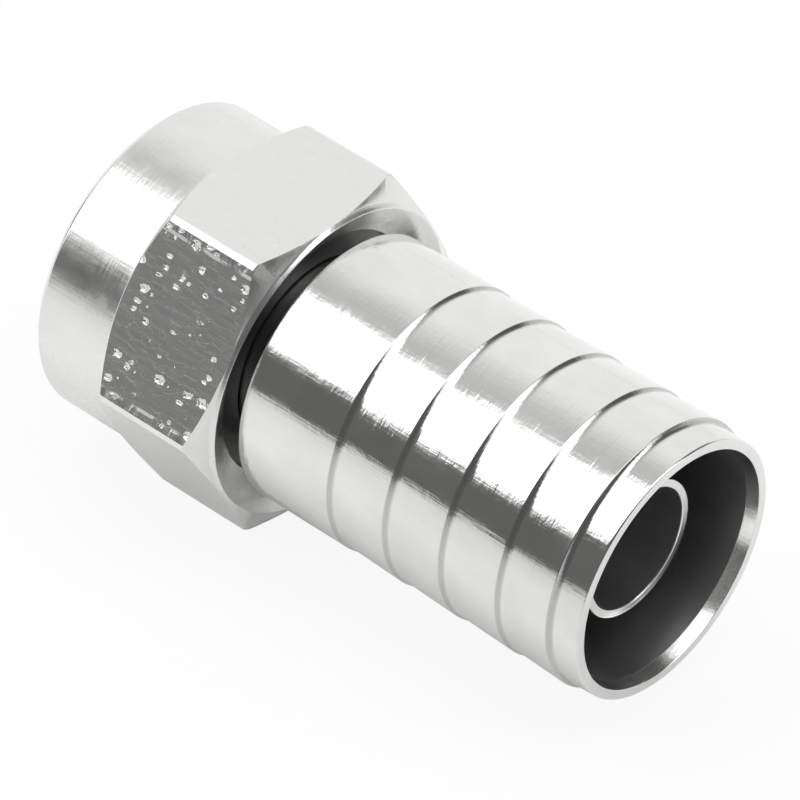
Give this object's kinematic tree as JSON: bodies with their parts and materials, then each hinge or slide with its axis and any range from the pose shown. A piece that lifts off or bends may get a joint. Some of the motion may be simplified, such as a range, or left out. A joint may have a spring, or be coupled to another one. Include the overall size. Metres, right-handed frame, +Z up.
{
  "type": "f connector",
  "caption": "Crimp-on coaxial cable plug: bevelled hexagonal coupling nut that swivels on a tubular post, with a ring-grooved crimp sleeve.",
  "frame": {"origin": "on the resting plane, under the middle of the plug's length and width", "axes": "+X along the plug's axis from the nut's open face towards the cable entry, +Z up, square to the hexagon flat that the plug lies on"},
  "size_m": [0.0218, 0.0126, 0.0111],
  "materials": {
    "nut_plate": "bright nickel plate",
    "post_plate": "bright nickel plate",
    "sleeve_plate": "bright nickel plate"
  },
  "bodies": {
    "nut": {"coupling_nut": "nut_plate"},
    "ferrule": {"post": "post_plate", "crimp_sleeve": "sleeve_plate"}
  },
  "joints": [
    {"name": "swivel", "type": "hinge", "parent": "nut", "child": "ferrule", "pos_m": [-0.00454, 0, 0.00555], "axis": [1, 0, 0], "continuous": true}
  ]
}
